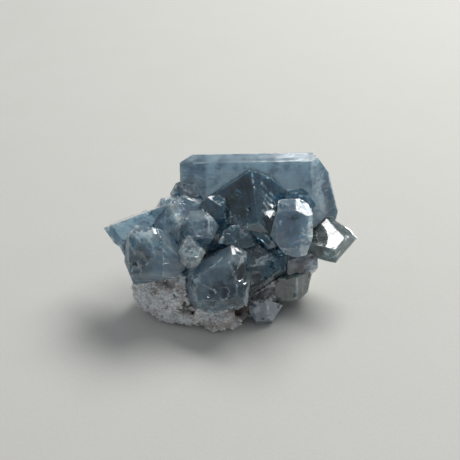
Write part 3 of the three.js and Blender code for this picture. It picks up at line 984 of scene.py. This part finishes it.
        "ledges": [(290, 195, 0.6, 0.3), (307, 192, 0.7, 0.3)],
        "cracks": [([(294, 192), (300, 196), (307, 196)], 0.8)],
    },
    "back_left_small": {
        "facing": (-30, 40, 10), "striation": "b", "look": "slate", "swell": 2, "chips": 7,
        "ledges": [(186, 191, 1.2, 0.3)],
        "scoops": [(175, 190, 0.8), (183, 186, 0.7)],
        "cracks": [([(184, 190), (191, 193), (198, 197)], 0.7)],
        "paint": [
            ("rust", 0.35, [(175, 182), (190, 180), (196, 192), (180, 196)])],
    },
    "back_block": {
        "facing": (2, 28, 0), "striation": "a", "look": "long", "edge": 1.0, "chips": 12,
        "ledges": [(217, 170, 1.4, 0.35), (270, 167, 1.3, 0.25), (275, 168, 0.6, 0.3), (300, 160, 0.9, 0.2)],
        "scoops": [(316, 160, 0.9), (181, 166, 0.7)],
        "cracks": [([(318, 168), (320, 184), (322, 200)], 1.6), ([(196, 176), (206, 180), (214, 177)], 1.8),
                   ([(268, 166), (274, 168), (279, 167)], 1.2), ([(292, 163), (300, 160), (308, 160)], 1.2)],
        "paint": [
            ("frostAndHighlight", 0.75, [(314, 157), (322, 162), (328, 186), (327, 212), (318, 214), (314, 180)]),
            ("frostAndHighlight", 0.4, [(180, 157), (197, 157), (198, 192), (180, 192)]),
            ("shade", 0.4, [(326, 175), (337, 200), (337, 218), (328, 214)])],
    },
}

# veils and fractures sealed in the crystals

veils = {
    "perCubicCentimetre": 260,
    "most": 260,
    "flake": (0.16, 1.0),  # radius in mm of the smallest and largest
    "reach": (0.2, 0.84),  # how far out from the middle they lie
    "scatter": 0.55,  # radians that a flake leans from the cleavage
    "silver": 0.3,  # share that are open fractures, which mirror
    "margin": 0.03 * mm,  # a veil stays this far inside the surface
    "seed": 5,
}


cracks = {
    "steps": 6,  # from one point of a crack's line to the next
    "sunk": 0.05 * mm,  # how far under the surface it starts
    "wander": 0.03 * mm,
    "lean": 0.8,  # how far it slants from straight inwards
    "half": 0.02 * mm,  # half its thickness
}


def flakeMesh(name, seed, rings=2, sides=10):
    # a thin, wavy, ragged disc of radius 1, closed at its rim
    draw = np.random.default_rng(seed)
    turns = [math.tau * side / sides for side in range(sides)]
    rim = [1 + 0.35 * math.sin(2 * turn + seed) + draw.uniform(-0.18, 0.18) for turn in turns]
    mesh = bmesh.new()

    def loop(share, face):
        made = []
        for turn, reach in zip(turns, rim):
            rise = 0.16 * share * share * math.sin(2 * turn + seed) + 0.02 * (1 - share) * face
            place = (reach * share * math.cos(turn), reach * share * math.sin(turn), rise)
            made.append(mesh.verts.new(place))
        return made

    edge = loop(1, 0)
    for face in (1, -1):
        middle = mesh.verts.new((0, 0, 0.02 * face))
        loops = [[middle] * sides] + [loop(ring / rings, face) for ring in range(1, rings)] + [edge]
        for inner, outer in zip(loops, loops[1:]):
            for side in range(sides):
                after = (side + 1) % sides
                corners = [inner[side], outer[side], outer[after], inner[after]]
                mesh.faces.new(list(dict.fromkeys(corners)))
    bmesh.ops.recalc_face_normals(mesh, faces=mesh.faces)
    flake = meshObject(name, mesh)
    flake.data.shade_smooth()
    return flake


def veilMaterial(name, colour, metallic, roughness, least, most):
    material, tree, shader, coords = newMaterial(name)
    setInputs(shader, {"Base Color": (*colour, 1), "Metallic": metallic, "Roughness": roughness})
    torn = noiseOn(tree, coords, Scale=1500, Detail=3)
    patchy = addNode(tree, "ShaderNodeMapRange", **{"From Min": 0.4, "From Max": 0.62})
    setInputs(patchy, {"To Min": least, "To Max": most})
    tree.links.new(torn, patchy.inputs["Value"])
    tree.links.new(patchy.outputs["Result"], shader.inputs["Alpha"])
    return material


def veilTree():
    tree = bpy.data.node_groups.new("sealedVeils", "GeometryNodeTree")
    kinds = {"Crystal": "Geometry", "Density": "Float", "Seed": "Int", "Middle": "Vector",
             "Cleavage": "Vector", "Scatter": "Float", "Smallest": "Float", "Largest": "Float",
             "Deepest": "Float", "Shallowest": "Float", "Flake": "Object", "Finish": "Material"}
    for name, kind in kinds.items():
        tree.interface.new_socket(name, in_out="INPUT", socket_type="NodeSocket" + kind)
    tree.interface.new_socket("Veils", in_out="OUTPUT", socket_type="NodeSocketGeometry")
    given = tree.nodes.new("NodeGroupInput").outputs
    made = tree.nodes.new("NodeGroupOutput").inputs
    link = tree.links.new

    def randomValue(kind, low, high, shift):
        value = tree.nodes.new("FunctionNodeRandomValue")
        value.data_type = kind
        seed = tree.nodes.new("ShaderNodeMath")
        seed.inputs[1].default_value = shift
        link(given["Seed"], seed.inputs[0])
        ends = [socket for socket in value.inputs if socket.enabled and socket.name in ("Min", "Max")]
        for socket, end in zip(ends, (low, high)):
            if hasattr(end, "is_output"):
                link(end, socket)
            else:
                socket.default_value = end
        link(seed.outputs[0], next(socket for socket in value.inputs if socket.name == "Seed"))
        return next(socket for socket in value.outputs if socket.enabled)

    def vectorMaths(operation, first, second):
        maths = tree.nodes.new("ShaderNodeVectorMath")
        maths.operation = operation
        link(first, maths.inputs[0])
        link(second, maths.inputs[3] if operation == "SCALE" else maths.inputs[1])
        return maths.outputs[0]

    points = tree.nodes.new("GeometryNodeDistributePointsOnFaces")
    link(given["Crystal"], points.inputs["Mesh"])
    link(given["Density"], points.inputs["Density"])
    link(given["Seed"], points.inputs["Seed"])
    place = tree.nodes.new("GeometryNodeInputPosition")
    fromMiddle = vectorMaths("SUBTRACT", place.outputs[0], given["Middle"])
    drawn = vectorMaths("SCALE", fromMiddle, randomValue("FLOAT", given["Deepest"], given["Shallowest"], 1))
    sunk = tree.nodes.new("GeometryNodeSetPosition")
    link(points.outputs["Points"], sunk.inputs["Geometry"])
    link(vectorMaths("ADD", drawn, given["Middle"]), sunk.inputs["Position"])
    lean = vectorMaths("SCALE", randomValue("FLOAT_VECTOR", (-1, -1, -1), (1, 1, 1), 2), given["Scatter"])
    shape = tree.nodes.new("GeometryNodeObjectInfo")
    link(given["Flake"], shape.inputs["Object"])
    stretch = randomValue("FLOAT_VECTOR", (0.5, 0.8, 1), (1, 1.4, 1), 3)
    size = vectorMaths("SCALE", stretch, randomValue("FLOAT", given["Smallest"], given["Largest"], 4))
    flakes = tree.nodes.new("GeometryNodeInstanceOnPoints")
    link(sunk.outputs["Geometry"], flakes.inputs["Points"])
    link(shape.outputs["Geometry"], flakes.inputs["Instance"])
    link(vectorMaths("ADD", lean, given["Cleavage"]), flakes.inputs["Rotation"])
    link(size, flakes.inputs["Scale"])
    real = tree.nodes.new("GeometryNodeRealizeInstances")
    finish = tree.nodes.new("GeometryNodeSetMaterial")
    link(flakes.outputs["Instances"], real.inputs["Geometry"])
    link(real.outputs["Geometry"], finish.inputs["Geometry"])
    link(given["Finish"], finish.inputs["Material"])
    link(finish.outputs["Geometry"], made["Veils"])
    return tree


def grownByTree(name, source, tree, values):
    # runs a tree on a copy of a mesh and keeps the plain mesh that it makes
    holder = bpy.data.objects.new(name, source.data.copy())
    bpy.context.scene.collection.objects.link(holder)
    modifier = holder.modifiers.new("tree", "NODES")
    modifier.node_group = tree
    for item in tree.interface.items_tree:
        if item.in_out == "INPUT" and item.name in values:
            modifier[item.identifier] = values[item.name]
    result = bpy.data.meshes.new_from_object(holder.evaluated_get(bpy.context.evaluated_depsgraph_get()))
    holder.modifiers.clear()
    holder.data = result
    return holder


veilShapes = [flakeMesh("flake" + str(seed), seed) for seed in range(3)]
milkyVeil = veilMaterial("milkyVeil", (0.66, 0.80, 0.92), 0, 0.4, 0.02, 0.5)
silverVeil = veilMaterial("silverVeil", (0.92, 0.96, 0.98), 1, 0.12, 0.15, 0.75)
crackVeil = veilMaterial("crackVeil", (0.9, 0.95, 0.98), 0, 0.2, 0.25, 0.95)
veilNodes = veilTree()


def dropIslands(piece, unwanted):
    # deletes each separate bit of a piece that unwanted says yes to
    mesh = bmesh.new()
    mesh.from_mesh(piece.data)
    gone = [vert for island in islands(mesh) if unwanted(island) for vert in island]
    bmesh.ops.delete(mesh, geom=gone, context="VERTS")
    mesh.to_mesh(piece.data)
    mesh.free()


def reachesOut(island, skin):
    for vert in island:
        at, outward, _, _ = skin.find_nearest(vert.co)
        if (vert.co - at).dot(outward) > -veils["margin"]:
            return True
    return False


def sealVeils(node, crystal, look):
    data = crystal.data
    area = sum(face.area for face in data.polygons)
    middle = sum((vert.co for vert in data.vertices), Vector()) / len(data.vertices)
    low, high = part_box(node)
    spread = (high - low).length / (22 * mm)
    mesh = bmesh.new()
    mesh.from_mesh(data)
    count = mesh.calc_volume() * 1e6 * veils["perCubicCentimetre"]
    mesh.free()
    skin = surfaceTree(crystal)
    kinds = (("_veils", milkyVeil, 1 - veils["silver"]), ("_fractures", silverVeil, veils["silver"]))
    for index, (ending, finish, share) in enumerate(kinds):
        number = max(6, min(count, veils["most"])) * share
        values = {
            "Density": number / area, "Seed": veils["seed"] + index, "Middle": middle,
            "Cleavage": Vector(crystalTurn(*look["facing"]).to_euler()), "Scatter": veils["scatter"],
            "Smallest": veils["flake"][0] * mm, "Largest": veils["flake"][1] * mm * min(1.6, 0.5 + spread),
            "Deepest": veils["reach"][0], "Shallowest": veils["reach"][1],
            "Flake": veilShapes[index], "Finish": finish,
        }
        piece = grownByTree(node + ending, crystal, veilNodes, values)
        dropIslands(piece, lambda island: reachesOut(island, skin))
        if not piece.data.polygons:
            bpy.data.objects.remove(piece)
            continue
        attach(piece, "root")


def crackRows(skin, path, deep, away):
    # three lines of points, from just under the surface inwards
    steps = []
    for (x0, y0), (x1, y1) in zip(path, path[1:]):
        shares = np.linspace(0, 1, cracks["steps"], False)
        steps += [(x0 + (x1 - x0) * share, y0 + (y1 - y0) * share) for share in shares]
    steps.append(path[-1])
    rows = []
    for index, pixel in enumerate(steps):
        at, outward = seenOn(skin, pixel)
        share = index / (len(steps) - 1)
        inward = (-outward + cracks["lean"] * (away - outward * away.dot(outward))).normalized()
        depth = deep * (0.6 + 0.5 * noise.noise(at * 900)) * math.sin(math.pi * (0.08 + 0.84 * share))
        wander = Vector([noise.noise(at * 1300 + Vector((k, 0, 0))) for k in range(3)])
        top = at - outward * cracks["sunk"] + wander * cracks["wander"]
        rows.append([top, top + inward * depth * 0.5 + outward * cracks["sunk"], top + inward * depth])
    return rows, inward


def closedSheet(mesh, rows, thick):
    # a strip along three lines of points, with a front, a back and a closed rim
    front = [[mesh.verts.new(point + thick) for point in row] for row in rows]
    back = [[mesh.verts.new(point - thick) for point in row] for row in rows]
    for index in range(len(rows) - 1):
        after = index + 1
        for a, b in ((0, 1), (1, 2)):
            mesh.faces.new([front[index][a], front[after][a], front[after][b], front[index][b]])
            mesh.faces.new([back[index][b], back[after][b], back[after][a], back[index][a]])
        for line in (0, 2):
            mesh.faces.new([front[index][line], front[after][line], back[after][line], back[index][line]])
    for index in (0, len(rows) - 1):
        for a, b in ((0, 1), (1, 2)):
            mesh.faces.new([front[index][a], front[index][b], back[index][b], back[index][a]])


def crackPiece(node, crystal, look):
    draw = np.random.default_rng([veils["seed"], sorted(nodes).index(node)])
    skin = surfaceTree(crystal)
    mesh = bmesh.new()
    for path, deep in look.get("cracks", []):
        away = Vector([draw.uniform(-1, 1) for _ in range(3)])
        rows, inward = crackRows(skin, path, deep * mm, away)
        closedSheet(mesh, rows, inward.cross(Vector((0.3, 0.2, 1))).normalized() * cracks["half"])
    bmesh.ops.recalc_face_normals(mesh, faces=mesh.faces)
    piece = meshObject(node + "_cracks", mesh)
    piece.data.shade_smooth()
    piece.data.materials.append(crackVeil)
    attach(piece, "root")


for node, look in crystals.items():
    finish = crystalMaterial(node, looks[look["look"]], look["facing"], look["striation"])
    crystal = crystalPiece(node, look, finish)
    crackPiece(node, crystal, look)
    sealVeils(node, crystal, look)
for shape in veilShapes:
    bpy.data.objects.remove(shape)
print("crystals")

# matrix

rock = {
    "edge": 0.42 * mm,
    "lumps": ((260, 0.8 * mm), (560, 0.65 * mm), (1400, 0.3 * mm)),  # waves in a metre, and their height
    "outward": 0.25,  # how much of that height stands proud
    "grainsPerSquareMm": 2.6,
    "grain": (0.16, 0.55),  # radius in mm
    "bare": 0.6,  # grains keep off darker rock than this
    "holes": [(187, 309, 1.8, 1.5), (222, 308, 1.5, 0.8), (240, 311, 1.8, 1.0)],  # pixel, radius, depth
    "patches": {  # outlines in pixels of the frame
        "pale": [[(132, 279), (150, 278), (160, 284), (158, 300), (146, 310), (134, 300)],
                 [(158, 272), (176, 273), (176, 280), (160, 281)],
                 [(168, 306), (188, 316), (204, 326), (178, 324)]],
        "stain": [[(165, 280), (177, 281), (178, 292), (166, 291)],
                  [(180, 300), (194, 300), (196, 318), (180, 316)],
                  [(216, 302), (252, 302), (252, 322), (238, 320), (218, 310)],
                  [(196, 322), (236, 320), (232, 330), (200, 329)]],
        # dim outlines are painted shade on the recess and the shaded right side
        "dim": [[(232, 298), (256, 298), (258, 326), (238, 322), (233, 310)],
                [(244, 270), (290, 270), (290, 300), (246, 300)]],
    },
    # pale and stain are the rock's own tones, dim is the colour of painted shade
    "tones": {"pale": (0.84, 0.91, 0.97), "stain": (0.34, 0.27, 0.24), "dim": (0.05, 0.05, 0.05)},
    "stops": ((0.26, (0.30, 0.24, 0.22)), (0.36, (0.66, 0.60, 0.59)), (0.44, (0.90, 0.89, 0.90)),
              (0.6, (0.96, 0.98, 1.0))),
    "seed": 21,
}


lumpHeight = sum(size for _, size in rock["lumps"])


def lumpLevel(at):
    # round lumps with thin creases between them, from 0 in a crease to 1
    level = 0
    for waves, size in rock["lumps"]:
        level += size * min(1, 3 * abs(noise.noise(at * waves + Vector((waves, 0, 0)))))
    return level / lumpHeight


def rockPiece():
    mesh = facetBody("matrix")
    bmesh.ops.triangulate(mesh, faces=mesh.faces, quad_method="BEAUTY", ngon_method="BEAUTY")
    mesh = splitLong(mesh, rock["edge"])
    mesh.normal_update()
    # a layer of painted shade in the creases and holes
    hollowShade = mesh.verts.layers.float.new("hollowShade")
    waver = [(noise.noise(vert.co * 900), noise.noise(vert.co * -900)) for vert in mesh.verts]
    places = pixelsOf(np.array([vert.co for vert in mesh.verts])) + 4 * np.array(waver)
    for kind, outlines in rock["patches"].items():
        layer = mesh.verts.layers.float.new(kind)
        covered = sum(inPolygon(places, corners, 8) for corners in outlines)
        for vert, amount in zip(mesh.verts, covered):
            vert[layer] = min(1, amount) if vert.normal.y < 0.2 else 0
    holes = [(*seenAt("matrix", (px, py)), size * mm, deep * mm) for px, py, size, deep in rock["holes"]]
    moves = []
    for vert in mesh.verts:
        level = lumpLevel(vert.co)
        depth = (level - 1 + rock["outward"]) * lumpHeight * 0.8
        # painted shade, darkest in the creases between lumps and in the holes
        dark = max(0, 0.38 - level) * 2.8
        for at, outward, size, deep in holes:
            inside = 1 - (vert.co - at).length / size
            inside += 0.5 * noise.noise(vert.co * 1500)
            if inside > 0:
                depth -= deep * min(1, inside * 2)
                dark += min(1, inside * 1.3)
        if meetsNeighbour("matrix", vert.co, vert.normal):
            depth = growth["closer"] * 0.5
        move = vert.normal * depth
        if vert.co.z < 0.02 * mm:
            move = Vector((0, 0, max(0, -depth) * 0.3))
        vert[hollowShade] = min(1, dark)
        moves.append(move)
    for vert, move in zip(mesh.verts, moves):
        vert.co += move
        vert.co.z = max(0, vert.co.z)
    piece = meshObject("matrix_rock", mesh)
    piece.data.shade_smooth()
    piece.data.set_sharp_from_angle(angle=math.radians(40))
    return piece


def rockMaterial(name, grainy):
    material, tree, shader, coords = newMaterial(name)
    link = tree.links.new
    patches = noiseOn(tree, coords, Scale=330, Detail=4, Roughness=0.65)
    speckle = noiseOn(tree, coords, Scale=2600, Detail=3, Roughness=0.7)
    ramp = tree.nodes.new("ShaderNodeValToRGB")
    while len(ramp.color_ramp.elements) < len(rock["stops"]):
        ramp.color_ramp.elements.new(0.5)
    for element, (place, colour) in zip(ramp.color_ramp.elements, rock["stops"]):
        element.position, element.color = place, (*colour, 1)
    blend = tree.nodes.new("ShaderNodeMath")
    blend.operation = "MULTIPLY_ADD"
    blend.inputs[1].default_value = 0.45
    link(speckle, blend.inputs[0])
    link(mixValues(tree, patches, -0.3, 0.92), blend.inputs[2])
    link(blend.outputs[0], ramp.inputs["Fac"])
    colour = ramp.outputs["Color"]
    if not grainy:
        # pale and stain tones are the rock's own, dim paints shade
        for kind, tone in rock["tones"].items():
            colour = mixColours(tree, mixValues(tree, layerOf(tree, kind), 0, 0.65), colour, tone)
        # painted shade in the creases and holes
        colour = mixColours(tree, layerOf(tree, "hollowShade"), colour, (0.07, 0.055, 0.05))
        link(bumpFrom(tree, speckle, 1, 0.25 * mm), shader.inputs["Normal"])
    link(colour, shader.inputs["Base Color"])
    setInputs(shader, {
        "Roughness": 0.2 if grainy else 0.7, "Coat Weight": 1 if grainy else 0, "Coat Roughness": 0.08,
        "Subsurface Weight": 0.3, "Subsurface Radius": (1, 0.8, 0.7), "Subsurface Scale": 0.5 * mm,
    })
    return material


def grainMesh(seed):
    draw = np.random.default_rng(seed)
    mesh = bmesh.new()
    bmesh.ops.create_icosphere(mesh, subdivisions=1, radius=1)
    for vert in mesh.verts:
        vert.co *= draw.uniform(0.72, 1.15)
    return meshObject("grain", mesh)


def scatterGrains(rockBody):
    grain = grainMesh(rock["seed"])
    values = {
        "Density": rock["grainsPerSquareMm"] * 1e6, "Seed": rock["seed"], "Scatter": math.pi,
        "Middle": Vector(), "Cleavage": Vector(),
        "Smallest": rock["grain"][0] * mm, "Largest": rock["grain"][1] * mm,
        "Deepest": 1.0, "Shallowest": 1.0, "Flake": grain, "Finish": rockMaterial("grains", True),
    }
    piece = grownByTree("matrix_grains", rockBody, veilNodes, values)
    bpy.data.objects.remove(grain)
    tree = KDTree(len(rockBody.data.vertices))
    for vert in rockBody.data.vertices:
        tree.insert(vert.co, vert.index)
    tree.balance()
    dark = [rockBody.data.attributes[kind].data for kind in ("hollowShade", "stain", "dim")]

    def misplaced(island):
        _, index, _ = tree.find(sum((vert.co for vert in island), Vector()) / len(island))
        below = min(vert.co.z for vert in island) < 0
        return below or max(layer[index].value for layer in dark) > rock["bare"]

    dropIslands(piece, misplaced)
    return piece


rockBody = rockPiece()
rockBody.data.materials.append(rockMaterial("rock", False))
grains = scatterGrains(rockBody)
for piece in (rockBody, grains):
    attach(piece, "root")
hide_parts("matrix")
print("matrix", len(rockBody.data.polygons), "and grains", len(grains.data.polygons))
